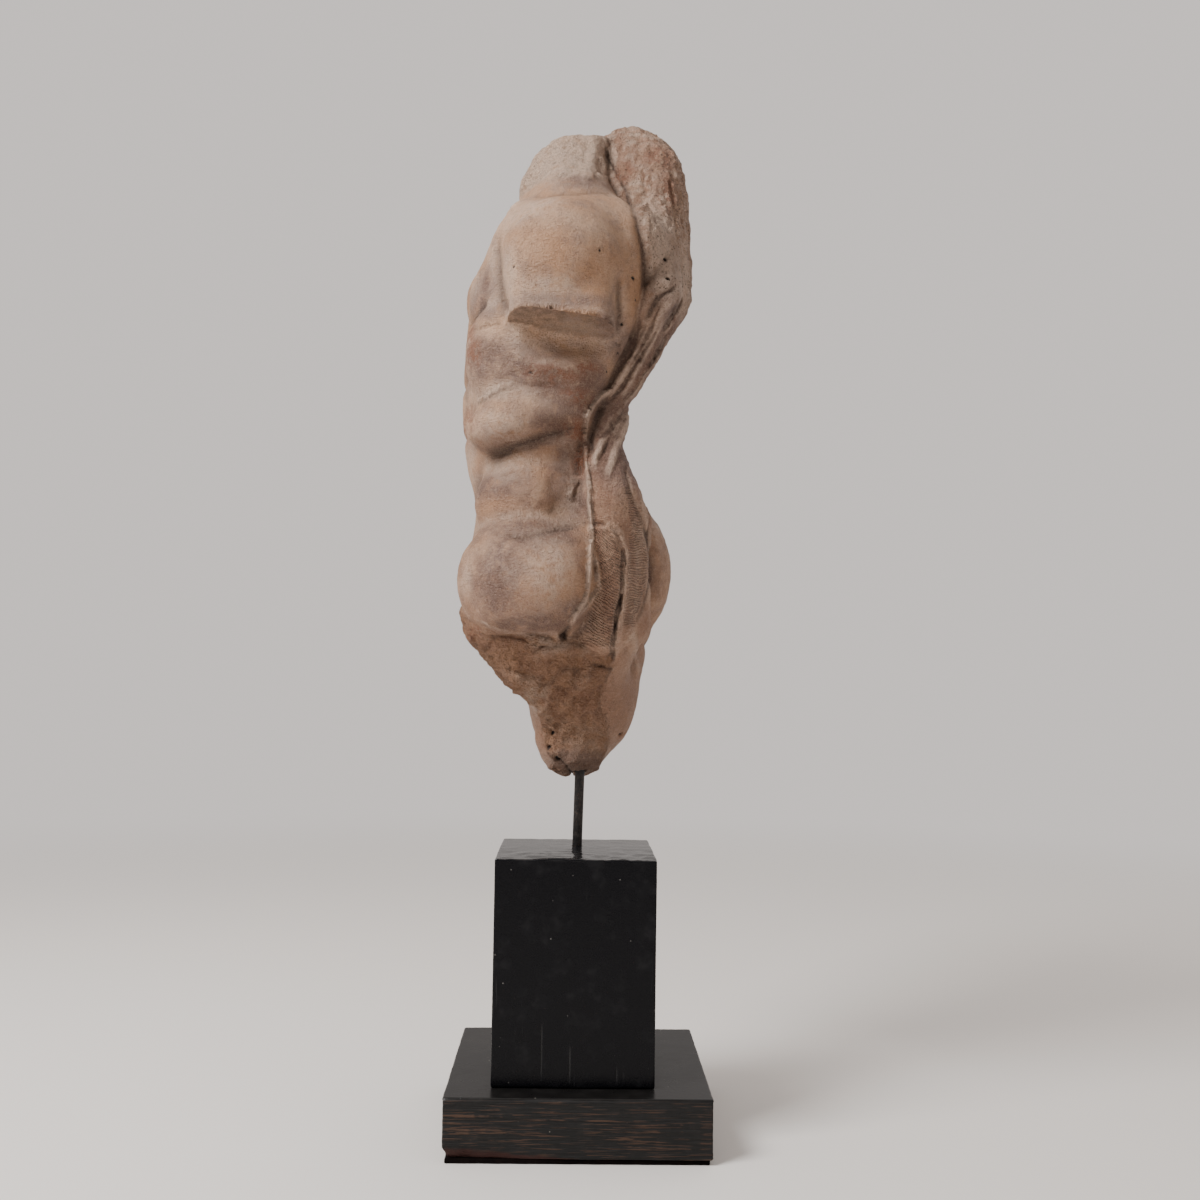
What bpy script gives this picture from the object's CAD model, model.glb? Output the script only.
# Dresses a broken plaster torso on a steel rod, a black block and a square wooden slab.
# Metres, +Z up. The figure's front faces -X, and its left side faces -Y and the camera.
import math
import bmesh
import bpy
import numpy as np
from mathutils import Matrix, Vector


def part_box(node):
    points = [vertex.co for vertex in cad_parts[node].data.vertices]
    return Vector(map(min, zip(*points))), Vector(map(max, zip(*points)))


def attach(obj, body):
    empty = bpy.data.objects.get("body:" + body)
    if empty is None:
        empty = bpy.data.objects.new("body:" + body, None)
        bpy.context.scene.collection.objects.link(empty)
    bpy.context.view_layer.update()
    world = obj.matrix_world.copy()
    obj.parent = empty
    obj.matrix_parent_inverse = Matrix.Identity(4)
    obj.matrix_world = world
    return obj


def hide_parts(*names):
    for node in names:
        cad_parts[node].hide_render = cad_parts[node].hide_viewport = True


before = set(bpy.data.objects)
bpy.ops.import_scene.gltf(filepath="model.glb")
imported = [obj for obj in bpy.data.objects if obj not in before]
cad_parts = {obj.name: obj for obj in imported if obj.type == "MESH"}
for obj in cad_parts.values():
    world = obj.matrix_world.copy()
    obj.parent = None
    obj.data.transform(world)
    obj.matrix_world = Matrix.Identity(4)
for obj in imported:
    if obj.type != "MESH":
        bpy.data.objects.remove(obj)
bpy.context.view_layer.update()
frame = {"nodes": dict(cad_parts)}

print("frame loaded:", ", ".join(frame["nodes"]))

mm = 0.001


def boxOf(node):
    low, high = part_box(node)
    return Vector(low), Vector(high)


feltLow, feltHigh = boxOf("felt_underlay")
slabLow, slabHigh = boxOf("base_slab")
blockLow, blockHigh = boxOf("pedestal_block")
blockMiddle = (blockLow + blockHigh) / 2

rodSize = {
    "radius": 4 * mm,
    "shows": 56 * mm,      # seen between block and figure
    "inBlock": 45 * mm,
    "inFigure": 51.7 * mm,
    "behind": 15.5 * mm,   # the foot stands behind the block's middle
    "lean": math.radians(1.25),
    "fit": 0.3 * mm,       # clearance in its holes
    "sides": 40,
    "ringStep": 2 * mm,
    "unevenness": 0.07 * mm,
    "worn": 0.5 * mm,      # chamfer at each end
}
rodFoot = Vector((blockMiddle.x, blockMiddle.y + rodSize["behind"], blockHigh.z - rodSize["inBlock"]))
rodRun = Vector((math.sin(rodSize["lean"]), 0, math.cos(rodSize["lean"])))
rodLength = rodSize["inBlock"] + rodSize["shows"] + rodSize["inFigure"]
socket = rodFoot + rodRun * (rodSize["inBlock"] + rodSize["shows"])


# Smooth random values from 0 to 1 on a lattice with the given spacing
def patches(points, spacing, seed, layers=1):
    table = np.random.RandomState(seed).rand(32, 32, 32)
    total, weight, sumOfWeights = 0, 1, 0
    for layer in range(layers):
        place = points / spacing * 2 ** layer + 7.3 * layer
        cell = np.floor(place).astype(int)
        share = place - cell
        share = share * share * (3 - 2 * share)
        value = 0
        for a, b, c in np.ndindex(2, 2, 2):
            near = np.prod(np.where((a, b, c), share, 1 - share), axis=1)
            i, j, k = ((cell + (a, b, c)) % 32).T
            value = value + near * table[i, j, k]
        total = total + weight * value
        sumOfWeights += weight
        weight *= 0.5
    return total / sumOfWeights


def meshOf(name, points, faces, smooth=True):
    mesh = bpy.data.meshes.new(name)
    mesh.from_pydata(np.asarray(points, float).tolist(), [], [list(face) for face in faces])
    mesh.update()
    mesh.polygons.foreach_set("use_smooth", [smooth] * len(mesh.polygons))
    return mesh


def addPiece(name, mesh, node, material):
    piece = bpy.data.objects.new(name, mesh)
    bpy.context.scene.collection.objects.link(piece)
    mesh.materials.append(material)
    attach(piece, "root")
    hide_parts(node)
    return piece


def addValues(mesh, name, values):
    mesh.attributes.new(name, "FLOAT", "POINT").data.foreach_set("value", np.asarray(values, np.float32))


# Shader sockets that take part in Python expressions
class Value:
    def __init__(self, finish, socket):
        self.finish, self.socket = finish, socket

    def maths(self, operation, *others):
        return self.finish.add("ShaderNodeMath", {"operation": operation}, dict(enumerate((self, *others))))

    def __add__(self, other):
        return self.maths("ADD", other)

    def __sub__(self, other):
        return self.maths("SUBTRACT", other)

    def __mul__(self, other):
        return self.maths("MULTIPLY", other)

    def __pow__(self, other):
        return self.maths("POWER", other)

    def __rsub__(self, other):
        return self.finish.add("ShaderNodeMath", {"operation": "SUBTRACT"}, dict(enumerate((other, self))))

    __radd__ = __add__
    __rmul__ = __mul__

    def between(self, low, high):     # 0 at low, 1 at high, smooth in between
        return self.finish.add("ShaderNodeMapRange", {"interpolation_type": "SMOOTHSTEP"},
                               {"Value": self, "From Min": low, "From Max": high})


class Finish:
    def __init__(self, owner, shader="Principled BSDF", place="Object"):
        if isinstance(owner, str):
            owner = bpy.data.materials.new(owner)
        owner.use_nodes = True
        self.material = owner
        self.nodes, self.links = owner.node_tree.nodes, owner.node_tree.links
        self.shader = self.nodes[shader]
        self.place = self.add("ShaderNodeTexCoord", {}, {}, place)

    def add(self, kind, settings, inputs, output=0):
        node = self.nodes.new(kind)
        for name, value in settings.items():
            setattr(node, name, value)
        for name, value in inputs.items():
            self.put(node.inputs[name], value)
        return Value(self, node.outputs[output])

    def put(self, target, value):
        if isinstance(value, Value):
            self.links.new(value.socket, target)
        elif target.type == "RGBA" and len(value) == 3:
            target.default_value = (*value, 1)
        else:
            target.default_value = value

    def mix(self, share, first, second):
        return self.add("ShaderNodeMix", {"data_type": "RGBA"}, {0: share, 6: first, 7: second}, 2)

    # Lays named colours over one another, each by its own share
    def layered(self, colour, tones, *layers):
        for share, name in layers:
            colour = self.mix(share, colour, tones[name])
        return colour

    def stretched(self, scale, turn=(0, 0, 0)):
        return self.add("ShaderNodeMapping", {}, {"Vector": self.place, "Scale": scale, "Rotation": turn})

    def noise(self, scale, detail=3, roughness=0.55, where=None, distortion=0):
        return self.add("ShaderNodeTexNoise", {}, {
            "Vector": where or self.place, "Scale": scale, "Detail": detail,
            "Roughness": roughness, "Distortion": distortion})

    def spots(self, scale):
        return self.add("ShaderNodeTexVoronoi", {}, {"Vector": self.place, "Scale": scale})

    def along(self, axis):     # the place along one axis, in metres
        return self.add("ShaderNodeSeparateXYZ", {}, {"Vector": self.place}, axis)

    def attribute(self, name):
        return self.add("ShaderNodeAttribute", {"attribute_name": name}, {}, "Fac")

    def bump(self, height, distance, strength=1, below=None):
        inputs = {"Height": height, "Distance": distance, "Strength": strength}
        if below:
            inputs["Normal"] = below
        return self.add("ShaderNodeBump", {}, inputs)

    def finished(self, **inputs):
        for name, value in inputs.items():
            self.put(self.shader.inputs[name.replace("_", " ")], value)
        return self.material


# The figure's forms, cuts and lines are in thousandths of its own height, from its foot
figureHeight = 548 * mm
thousandth = figureHeight / 1000
socketPoint = Vector((-4, -4, 0))     # where the rod enters the figure's foot
figurePlace = np.array(socket - socketPoint * thousandth)

carving = {
    "low": (-220, -300, -20),   # the space that the surface net covers
    "high": (180, 270, 1040),
    "pitSoft": 18,              # how widely forms run into each other
    "armSoft": 9,
    "neckSoft": 26,
    "thighSoft": 15,
    "lipSoft": 3,
    "clothSoft": 22,
    "foldSoft": 5,
    "mantleSoft": 26,           # from here on: how far a cut's edge is rounded
    "armFaceSoft": 14,
    "breakSoft": 10,
    "facetSoft": 7,
    "lineSpread": 1.5,          # a line dies out at this many half widths
    "lineFade": 0.22,           # share of a line's length over which each end fades
    "lineWander": (5, 30),      # lines are drawn by a hand that wanders this far, over this length
    "lineReach": 45,            # lines are worked out this near the surface
    "leftLimit": -10,           # left lines stop here in y,
    "legLimit": 45,             # and here below the height of legTop
    "legTop": 200,
    "frontLimit": -40,          # front and back lines stop here in x
    "backLimit": 20,
    "sideFade": 40,             # all of them over this width
}


# Forms: a ball is a turned ellipsoid, a limb a round bar that tapers. Last comes the softness
# of the joint with what was built before it.
def ball(centre, radii, turn, soft):
    return {"centre": centre, "radii": radii, "turn": turn, "soft": soft}


def limb(start, end, startRadius, endRadius, soft):
    return {"start": start, "end": end, "startRadius": startRadius, "endRadius": endRadius, "soft": soft}


trunk = {
    "ribcage": ball((-62, 0, 681), (120, 164, 172), (-4, 5, 0), 0),
    "chestUpper": ball((-46, -4, 785), (100, 139, 95), (-10, 14, 0), 36),
    "yokeNear": limb((-31, -131, 755), (-26, -47, 836), 66, 55, 44),
    "yokeFar": limb((-18, 29, 850), (-15, 146, 843), 58, 62, 36),
    "waistCore": ball((-75, -4, 518), (97, 128, 155), (0, 0, 0), 47),
    "bellyWall": ball((-122, -4, 542), (64, 84, 170), (0, -1, 0), 33),
    "pelvis": ball((-51, 4, 328), (124, 150, 109), (0, 0, 0), 47),
    "trapNear": limb((4, -99, 803), (-40, -22, 909), 44, 46, 47),
    "trapFar": limb((4, 99, 880), (-13, 0, 938), 40, 38, 40),
    "scapulaNear": ball((18, -97, 725), (52, 66, 100), (0, 0, 20), 33),
    "scapulaFar": ball((40, 84, 765), (58, 73, 106), (0, 0, -20), 33),
    "latNear": limb((5, -115, 715), (-33, -95, 536), 59, 44, 36),
    "latFar": limb((11, 120, 737), (-22, 99, 555), 62, 40, 33),
    "pecNear": ball((-120, -84, 714), (47, 84, 66), (0, 8, 24), 22),
    "pecFar": ball((-130, 77, 739), (57, 84, 69), (0, 8, -24), 22),
    "deltoidNear": ball((-40, -157, 737), (84, 80, 88), (0, 0, 0), 36),
    "deltoidFar": ball((-22, 168, 803), (73, 69, 88), (0, 0, 0), 26),
    "armFar": limb((-22, 172, 796), (-7, 248, 774), 68, 64, 18),
    "ribSide": ball((-91, -102, 615), (86, 62, 88), (0, 20, 0), 40),
    "hipNear": ball((-80, -99, 285), (106, 99, 99), (0, 8, 0), 15),
    "hipFar": ball((-47, 113, 314), (91, 73, 106), (0, 0, 0), 29),
    "flankBack": ball((11, -47, 354), (62, 73, 164), (0, 0, 0), 40),
    "buttockFar": ball((60, 66, 316), (75, 84, 108), (0, 0, 0), 15),
    "rollUpper": ball((-102, -97, 518), (77, 62, 44), (0, -14, 0), 18),
    "rollLower": ball((-91, -88, 407), (73, 66, 60), (0, -14, 0), 22),
    "shoulderCap": limb((-84, -102, 774), (55, -99, 781), 55, 58, 36),
}
leftArm = {
    "armNear": limb((-44, -168, 737), (-38, -172, 591), 78, 73, 0),
}
rightLeg = {
    "thighFar": limb((15, 73, 281), (0, 29, 104), 100, 77, 0),
    "thighEnd": limb((-5, 29, 117), (-15, 15, 51), 80, 53, 18),
    "footLobe": limb((-46, 0, 58), (-35, -4, 24), 26, 16, 7),
}
# the mass left under the left hip where the thigh has broken away
brokenThigh = {
    "brokenCore": limb((-86, -72, 248), (0, 4, 113), 91, 64, 0),
    "brokenBack": limb((20, -62, 226), (-5, 12, 99), 62, 57, 26),
}
# the neck, broken off above
neckStump = {
    "neckCore": limb((-33, -4, 847), (-22, -4, 1029), 73, 51, 0),
    "neckKnob": ball((-80, -26, 891), (24, 29, 22), (0, 0, 0), 15),
}
# the gathered mantle behind the neck and the left shoulder
mantle = {
    "mantleTop": ball((88, 47, 839), (64, 106, 159), (0, 0, 0), 0),
    "mantleNear": limb((80, -18, 915), (80, -90, 715), 57, 52, 26),
    "mantleInner": limb((58, 11, 947), (99, -22, 777), 55, 49, 26),
}
# the same cloth, falling across the waist to the seat
drape = {
    "mantleFold": limb((99, -22, 726), (49, -55, 608), 53, 38, 0),
    "mantleNeck": limb((40, -58, 604), (29, -77, 522), 29, 27, 22),
    "mantleWaist": limb((11, -77, 518), (31, -91, 411), 27, 46, 22),
    "bandNear": limb((24, -95, 407), (22, -95, 223), 40, 44, 26),
    "bandFar": limb((68, -66, 380), (57, -62, 230), 29, 40, 29),
}
# the hollow under the left arm
armPit = ball((-20, -186, 628), (80, 40, 36), (0, 0, 0), 0)

cuts = {   # a point on each cut and the way it faces
    "armFace": ((-40, -219, 690), (0.1, -1, 0.03)),
    "armEnd": ((0, -200, 643), (-0.087, -0.17, -1)),
    "shoulderEnd": ((0, 234, 803), (0.05, 1, -0.04)),
    "neckTop": ((-4, -7, 973), (-0.06, -0.1, 1)),
    "neckSlope": ((-70, -50, 948), (-0.7, -0.1, 0.7)),
    "neckFront": ((0, -62, 916), (-0.3, -0.93, 0.22)),
    "neckSide": ((0, -62, 916), (0.55, -0.83, 0.1)),
    "mantleFace": ((85, -100, 820), (-0.12, -0.95, 0.28)),
    "hipUnder": ((-102, -168, 224), (-0.12, -0.42, -0.9)),
    "thighBreak": ((0, -107, 152), (-0.1, -0.77, -0.63)),
    "breakFace": ((-128, -120, 204), (-0.35, -0.75, -0.55)),
    "foot": ((-2, 15, 4), (0.15, -0.2, -1)),
}
leftLines = {   # height, half width, then x and z
    "neckGroove": (-6.4, 8.2, (17, 965), (32, 924), (52, 877), (67, 793), (75, 739), (79, 689)),
    "neckCrest": (2.9, 9.1, (4, 964), (1, 921), (-14, 859)),
    "shoulderFold": (-3.6, 10.9, (-105, 867), (-66, 838), (-19, 840), (16, 851), (40, 847)),
    "armFront": (-4.6, 8.5, (-135, 789), (-129, 742), (-127, 712), (-122, 682), (-114, 655)),
    "armBack": (-4.6, 6.5, (37, 712), (38, 690), (39, 668), (40, 640)),
    "breastFold": (-2.2, 8.2, (-182, 685), (-159, 646), (-138, 645), (-121, 652)),
    "armHollow": (-2.9, 14.6, (-98, 619), (-41, 612), (24, 624)),
    "ribLine": (2.6, 10.9, (-119, 603), (-69, 589), (-6, 595)),
    "ribHollow": (-2.9, 14.6, (-140, 577), (-83, 561), (-19, 556)),
    "skinRidge": (3.4, 3.6, (-166, 546), (-147, 548), (-126, 558), (-100, 567)),
    "rollCrease": (-6.2, 10.9, (-144, 467), (-117, 474), (-82, 485), (-40, 499), (-3, 512)),
    "bellyEdgeUpper": (-2.6, 5.5, (-165, 544), (-166, 502), (-167, 471)),
    "bellyEdgeLower": (-2.2, 5.5, (-154, 457), (-159, 417), (-168, 391)),
    "hipCrease": (-5.5, 10.9, (-120, 344), (-89, 339), (-48, 352), (2, 371)),
    "flankHollow": (-4, 18.2, (-56, 434), (-45, 400), (-52, 374)),
    "seam": (
        6.9, 2.7, (81, 676), (58, 606), (35, 571), (10, 542), (-1, 524), (-4, 496), (-2, 462),
        (3, 423), (6, 384), (8, 345), (7, 294), (1, 256), (-18, 229), (-34, 207)),
    "seamShadow": (-2.7, 6.2, (-8, 517), (-11, 491), (-12, 448), (-7, 402)),
    "seamGroove": (-2.2, 3.6, (67, 604), (42, 567), (19, 544)),
    "foldBeside": (3.3, 2.7, (8, 344), (16, 312), (21, 275), (4, 249), (-14, 229), (-29, 209)),
    "foldNotch": (-1.8, 3.6, (11, 326), (13, 297), (12, 269), (-5, 246)),
    "notchDeep": (-10.9, 5.8, (-20, 226), (-28, 213), (-35, 204)),
    "cavityUpper": (-7.3, 6.2, (20, 545), (12, 522), (5, 496), (4, 469)),
    "cavityOuter": (-5.5, 4.7, (38, 528), (32, 508), (19, 492)),
    "cavityRidge": (4.7, 4.7, (38, 511), (21, 489), (10, 467), (7, 443)),
    "bandLine": (-3.6, 3.3, (-9, 368), (11, 367), (31, 366)),
    "longGrooveTop": (-4, 2.9, (31, 366), (44, 351), (51, 331), (55, 309)),
    "longGroove": (-10.9, 3.1, (54, 336), (53, 309), (51, 274), (45, 238), (40, 205), (39, 172)),
    "grooveLip": (2.2, 3.3, (35, 371), (51, 353), (60, 329), (64, 310)),
    "cheekEdge": (
        -4, 4.7, (53, 468), (56, 442), (60, 414), (74, 389), (86, 365), (94, 332), (95, 300),
        (87, 266), (75, 238), (69, 218)),
    "curl": (3.6, 3.3, (-9, 438), (-20, 425), (-25, 398)),
    "mantleSplit": (-4.7, 3.6, (139, 723), (125, 696), (109, 664)),
    "mantleSplitLow": (-4.4, 3.6, (119, 665), (104, 638), (89, 612)),
    "mantleRib": (4.4, 4, (126, 714), (108, 681), (91, 640), (70, 599), (44, 555)),
    "mantleHem": (-6.6, 6.6, (123, 719), (100, 698), (80, 668)),
    "mantleVein": (-2.2, 4.7, (116, 919), (123, 847), (129, 773), (136, 728)),
    "mantleSplitTop": (-2.2, 4, (74, 924), (89, 819), (108, 755)),
    "foldOne": (4, 2.9, (111, 696), (98, 671), (79, 632), (52, 588), (26, 550)),
    "foldOneShade": (-2.7, 2.9, (112, 685), (94, 652), (70, 613), (47, 576), (29, 548)),
    "foldTwo": (2.9, 2.9, (114, 646), (99, 619), (77, 582), (47, 540)),
    "foldTwoShade": (-2.7, 2.9, (111, 632), (99, 612), (81, 583)),
    "foldThree": (3.6, 3.3, (87, 669), (70, 631), (49, 596), (26, 562)),
    "clothTwist": (-4.4, 4.7, (56, 545), (41, 518), (27, 492), (18, 458)),
    "clothTwistLow": (4.4, 4.7, (66, 542), (54, 509), (38, 474), (27, 430)),
    "lappet": (2.6, 4.7, (65, 220), (76, 192), (89, 153)),
    "lappetShade": (-2.2, 4.4, (58, 203), (65, 176), (77, 150)),
    "bandLedge": (-6.4, 6.2, (3, 174), (23, 165), (41, 163)),
    "hipLip": (1.8, 2.4, (-164, 230), (-119, 216), (-63, 204), (-32, 200)),
    "hipUnder": (-1.8, 2.7, (-164, 223), (-120, 209), (-64, 196), (-32, 193)),
    "breakRidge": (4.7, 9.1, (-124, 161), (-71, 130), (-56, 91), (-40, 53)),
    "breakCrest": (5.5, 7.3, (-88, 167), (-47, 185), (-27, 191), (8, 185)),
    "breakCrestLow": (4, 7.3, (9, 157), (-12, 128), (-40, 98)),
    "breakHollow": (-4.7, 14.6, (-64, 130), (-32, 162), (2, 163)),
    "footNotch": (-7.3, 6.6, (-13, 0), (-24, 23), (-39, 38)),
}
frontLines = {   # height, half width, then y and z
    "breastbone": (-6.4, 12.8, (-7, 814), (-5, 755), (-4, 686)),
    "middleLine": (-4.7, 9.1, (-4, 682), (0, 591), (-4, 482), (0, 391)),
    "breastUnderLeft": (-8.2, 10.9, (-139, 686), (-88, 657), (-26, 672)),
    "breastUnderRight": (-8.2, 10.9, (15, 675), (73, 664), (131, 701)),
    "bellyUpper": (-4, 9.1, (-69, 588), (-4, 580), (58, 591)),
    "bellyMiddle": (-4, 9.1, (-69, 511), (-4, 504), (58, 515)),
    "ribArchLeft": (-4.7, 12.8, (-29, 642), (-69, 602), (-95, 562)),
    "ribArchRight": (-4.7, 12.8, (22, 642), (62, 602), (88, 562)),
    "navel": (-9.1, 7.3, (-4, 453), (-2, 442)),
    "groinLeft": (-6.4, 12.8, (-117, 354), (-69, 292), (-29, 230)),
    "groinRight": (-6.4, 12.8, (113, 369), (62, 285), (22, 219)),
    "collarboneLeft": (4.4, 7.3, (-128, 828), (-77, 850), (-26, 847)),
    "collarboneRight": (4.4, 7.3, (18, 854), (77, 869), (146, 850)),
}
backLines = {   # height, half width, then y and z
    "mantleFold": (-7.3, 10.9, (40, 989), (33, 847), (15, 723), (-22, 628)),
    "mantleFoldOuter": (-7.3, 10.9, (102, 938), (99, 810), (69, 708), (11, 642)),
    "mantleRidge": (5.5, 9.1, (69, 967), (66, 828), (40, 715), (0, 639)),
    "mantleRidgeNear": (4.7, 9.1, (7, 956), (0, 828), (-18, 719)),
    "shoulderBlade": (-5.5, 12.8, (120, 850), (161, 774), (146, 682)),
    "spine": (-6.6, 12.8, (18, 664), (4, 573), (0, 464), (4, 391)),
    "cleft": (-9.1, 9.1, (-4, 380), (-2, 299), (4, 234)),
    "cheekUnder": (-5.5, 10.9, (18, 204), (73, 197), (124, 223)),
    "tailFold": (-5.5, 9.1, (-69, 518), (-77, 409), (-69, 281)),
}


def formDistance(points, form):
    if "centre" in form:
        turn = [Matrix.Rotation(math.radians(a), 3, axis) for a, axis in zip(form["turn"], "XYZ")]
        back = np.array(turn[2] @ turn[1] @ turn[0], np.float32)
        radii = np.array(form["radii"], np.float32)
        local = (points - np.array(form["centre"], np.float32)) @ back / radii
        reach = np.sqrt((local ** 2).sum(1))
        slope = np.sqrt(((local / radii) ** 2).sum(1)) + 1e-9
        return reach * (reach - 1) / slope
    start = np.array(form["start"], np.float32)
    run = np.array(form["end"], np.float32) - start
    along = np.clip((points - start) @ run / (run @ run), 0, 1)
    away = np.sqrt(((points - start - along[:, None] * run) ** 2).sum(1))
    return away - form["startRadius"] - (form["endRadius"] - form["startRadius"]) * along


def joined(a, b, soft):
    if soft <= 0:
        return np.minimum(a, b)
    meet = np.maximum(soft - np.abs(a - b), 0) / soft
    return np.minimum(a, b) - meet * meet * soft / 4


def kept(a, b, soft):
    return -joined(-a, -b, soft)


def bodyDistance(points, forms):
    total = None
    for form in forms.values():
        here = formDistance(points, form)
        total = here if total is None else joined(total, here, form["soft"])
    return total


def cutDistance(points, name):
    place, normal = cuts[name]
    normal = np.array(normal, np.float32) / np.linalg.norm(normal)
    return (points - np.array(place, np.float32)) @ normal


def trimmed(points, distance, **softnesses):     # the name of each cut, and of its softness
    for name, soft in softnesses.items():
        distance = kept(distance, cutDistance(points, name), carving[soft])
    return distance


# How far a carved line raises the surface, from its distance on one side's plane
def lineHeight(line, u, v):
    height, halfWidth, *corners = line
    nearest = np.full(len(u), 1e9, np.float32)
    share = np.zeros(len(u), np.float32)
    steps = len(corners) - 1
    for i in range(steps):
        (u0, v0), (u1, v1) = corners[i], corners[i + 1]
        du, dv = u1 - u0, v1 - v0
        along = np.clip(((u - u0) * du + (v - v0) * dv) / (du * du + dv * dv), 0, 1)
        away = np.sqrt((u - u0 - du * along) ** 2 + (v - v0 - dv * along) ** 2)
        closer = away < nearest
        nearest = np.where(closer, away, nearest)
        share = np.where(closer, (i + along) / steps, share)
    across = nearest / (halfWidth * carving["lineSpread"])
    if height > 0:
        profile = np.clip(1 - across ** 2, 0, 1) ** 2      # a rounded ridge
    else:
        profile = np.clip(1 - across, 0, 1) ** 1.5         # a groove with a sharp bottom
    fade = np.clip(np.minimum(share, 1 - share) / carving["lineFade"], 0, 1)
    return height * profile * fade * (2 - fade)


def sideShares(points):
    fade = carving["sideFade"]
    leftLimit = np.where(points[:, 2] < carving["legTop"], carving["legLimit"], carving["leftLimit"])
    return {
        "left": np.clip(0.5 - (points[:, 1] - leftLimit) / fade, 0, 1),
        "front": np.clip(0.5 - (points[:, 0] - carving["frontLimit"]) / fade, 0, 1),
        "back": np.clip(0.5 + (points[:, 0] - carving["backLimit"]) / fade, 0, 1),
    }


def linesHeight(points):
    total = np.zeros(len(points), np.float32)
    shares = sideShares(points)
    height, size = carving["lineWander"]
    wander = np.stack([patches(points, size, seed, 2) for seed in (41, 42, 43)], 1) - 0.5
    points = points + height * wander
    for side, lines, first in (("left", leftLines, 0), ("front", frontLines, 1), ("back", backLines, 1)):
        near = np.where(shares[side] > 0)[0]
        u, v = points[near, first], points[near, 2]
        for line in lines.values():
            corners = np.array(line[2:], np.float32)
            low = corners.min(0) - line[1] * 2
            high = corners.max(0) + line[1] * 2
            pick = near[(u > low[0]) & (u < high[0]) & (v > low[1]) & (v < high[1])]
            total[pick] += shares[side][pick] * lineHeight(line, points[pick, first], points[pick, 2])
    return total


# The rod's hole in the figure's foot
def holeDistance(points):
    start = np.array(socketPoint - rodRun * 20, np.float32)
    away = points - start
    along = away @ np.array(rodRun, np.float32)
    across = np.sqrt(np.maximum((away ** 2).sum(1) - along ** 2, 0))
    depth = (rodSize["inFigure"] + rodSize["fit"]) / thousandth + 20
    return np.maximum(across - (rodSize["radius"] + 2 * rodSize["fit"]) / thousandth, along - depth)


# The body with its neck, the leg with the broken thigh, and the cloth
def figureParts(points, withArmCut=True, withShoulderCut=True):
    arm = trimmed(points, bodyDistance(points, leftArm), armFace="armFaceSoft")
    if withArmCut:
        arm = np.maximum(arm, cutDistance(points, "armEnd"))
    body = kept(bodyDistance(points, trunk), -formDistance(points, armPit), carving["pitSoft"])
    body = joined(body, arm, carving["armSoft"])
    neck = np.maximum(bodyDistance(points, neckStump), cutDistance(points, "neckTop"))
    neck = trimmed(points, neck, neckSlope="breakSoft", neckFront="facetSoft", neckSide="facetSoft")
    body = joined(body, neck, carving["neckSoft"])
    if withShoulderCut:
        body = np.maximum(body, cutDistance(points, "shoulderEnd"))
    body = np.maximum(body, cutDistance(points, "hipUnder"))
    thigh = bodyDistance(points, brokenThigh)
    thigh = trimmed(points, thigh, thighBreak="breakSoft", breakFace="breakSoft")
    thigh = joined(thigh, bodyDistance(points, rightLeg), carving["thighSoft"])
    cloth = trimmed(points, bodyDistance(points, mantle), mantleFace="mantleSoft")
    cloth = joined(cloth, bodyDistance(points, drape), carving["clothSoft"])
    return body, thigh, cloth


def figureDistance(points, withArmCut=True, withShoulderCut=True):
    body, thigh, cloth = figureParts(points, withArmCut, withShoulderCut)
    d = joined(body, thigh, carving["lipSoft"])
    d = joined(d, cloth, carving["foldSoft"])
    d = trimmed(points, d, foot="facetSoft")
    near = np.abs(d) < carving["lineReach"]
    d[near] -= linesHeight(points[near])
    return np.maximum(d, -holeDistance(points))


# A net of four-sided faces over the surface where the distance changes sign. A coarse pass
# finds the space near the surface first.
def surfaceNet(distance, low, high, cell, coarse=4):
    low = np.array(low, float)
    count = np.ceil((np.array(high) - low) / cell).astype(int) + 1
    coarseCount = np.ceil(count / coarse).astype(int) + 1
    axes = [low[i] + cell * coarse * np.arange(coarseCount[i]) for i in range(3)]
    places = np.stack(np.meshgrid(*axes, indexing="ij"), -1).reshape(-1, 3).astype(np.float32)
    rough = distance(places).reshape(coarseCount)
    near = np.abs(rough) < cell * coarse * 1.9
    nearCell = np.zeros(coarseCount, bool)
    for corner in np.ndindex(2, 2, 2):
        part = near[tuple(slice(c, None) for c in corner)]
        nearCell[tuple(slice(0, n) for n in part.shape)] |= part
    index = [np.arange(count[i]) // coarse for i in range(3)]
    values = rough[np.ix_(*index)].astype(np.float32)
    todo = np.argwhere(nearCell[np.ix_(*index)])
    chunk = 300000     # points worked out at one time
    for start in range(0, len(todo), chunk):
        part = todo[start:start + chunk]
        values[tuple(part.T)] = distance((low + part * cell).astype(np.float32))
    return netOf(values, low, cell)


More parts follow.
